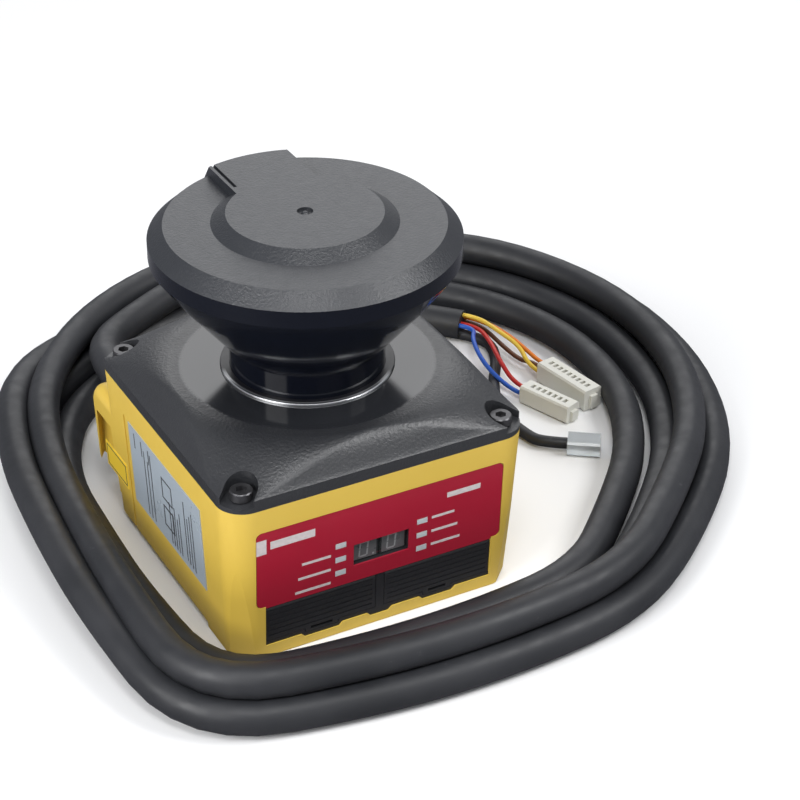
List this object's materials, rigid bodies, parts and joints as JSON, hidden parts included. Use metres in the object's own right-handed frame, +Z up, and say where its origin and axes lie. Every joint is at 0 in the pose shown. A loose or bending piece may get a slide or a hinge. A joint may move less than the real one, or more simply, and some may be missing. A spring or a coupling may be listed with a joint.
{
  "type": "safety laser scanner",
  "caption": "Compact safety laser scanner with a tapered yellow housing, domed black cover, mushroom-shaped optical window, front display panel, hinged port covers and coiled cable.",
  "frame": {"origin": "in the base plane, at the centre of the four mounting holes and under the mirror's axis", "axes": "+Z up along the mirror's axis, -Y out of the front panel, +X to the panel's right as one faces it"},
  "size_m": [0.2092, 0.2139, 0.095],
  "materials": {
    "housing_yellow": "satin",
    "cover_black": "textured",
    "cap_black": "textured",
    "window_smoke": "polished",
    "ring_bright": "polished",
    "panel_red": "satin",
    "port_black": "satin",
    "label_pale": "satin",
    "sticker_yellow": "satin",
    "screw_black": "satin",
    "steel": "satin",
    "brass": "satin",
    "frame_alu": "anodised",
    "seal_rubber": "matt",
    "mirror": "polished",
    "lens": "polished",
    "board_green": "satin",
    "chip_black": "matt",
    "copper": "satin",
    "magnet": "matt",
    "digit_dark": "polished",
    "light_clear": "polished",
    "sheath_black": "matt",
    "connector_white": "satin",
    "plug_clear": "polished",
    "wire_orange": "satin",
    "wire_brown": "satin",
    "wire_yellow": "satin",
    "wire_red": "satin",
    "wire_blue": "satin"
  },
  "bodies": {
    "base": {"housing": "housing_yellow", "mounting_inserts": "brass", "cover_gasket": "seal_rubber", "top_cover": "cover_black", "cover_screws": "screw_black", "optical_window": "window_smoke", "window_ring": "ring_bright", "window_seal": "seal_rubber", "head_cap": "cap_black", "head_frame": "frame_alu", "frame_screws": "steel", "motor_bearings": "steel", "motor_stator": "copper", "motor_board": "board_green", "encoder_sensor": "chip_black", "lens_barrel": "cover_black", "receiver_lens": "lens", "laser_tube": "brass", "laser_diode": "steel", "receiver_board": "board_green", "photodiode": "steel", "main_board": "board_green", "main_board_chips": "chip_black", "main_board_screws": "steel", "display_board": "board_green", "display_board_screws": "steel", "front_panel": "panel_red", "display_bezel": "port_black", "digit_left": "digit_dark", "digit_right": "digit_dark", "light_pipes": "light_clear", "port_frame": "port_black", "config_socket": "steel", "service_socket": "connector_white", "port_board": "board_green", "rating_label": "label_pale", "side_sticker": "sticker_yellow", "cable_gland": "sheath_black", "gland_nut": "chip_black", "cable_coil": "sheath_black", "cable_lead": "sheath_black", "cable_tail": "sheath_black", "sub_cable": "sheath_black", "end_plug": "plug_clear", "connector_long": "connector_white", "connector_short": "connector_white", "wire_orange": "wire_orange", "wire_brown": "wire_brown", "wire_yellow": "wire_yellow", "wire_red": "wire_red", "wire_blue": "wire_blue"},
    "rotor": {"motor_shaft": "steel", "rotor_cup": "steel", "rotor_magnet": "magnet", "encoder_disc": "steel", "mirror_hub": "frame_alu", "scan_mirror": "mirror"},
    "left_cover": {"port_cover_left": "port_black"},
    "right_cover": {"port_cover_right": "port_black"}
  },
  "joints": [
    {"name": "mirror_spin", "type": "hinge", "parent": "base", "child": "rotor", "pos_m": [0, 0, 0.08], "axis": [0, 0, 1], "continuous": true},
    {"name": "left_cover_hinge", "type": "hinge", "parent": "base", "child": "left_cover", "pos_m": [0, -0.03751, 0.01354], "axis": [-1, 0, 0], "range_deg": [0, 100]},
    {"name": "right_cover_hinge", "type": "hinge", "parent": "base", "child": "right_cover", "pos_m": [0, -0.03751, 0.01354], "axis": [-1, 0, 0], "range_deg": [0, 100]}
  ]
}
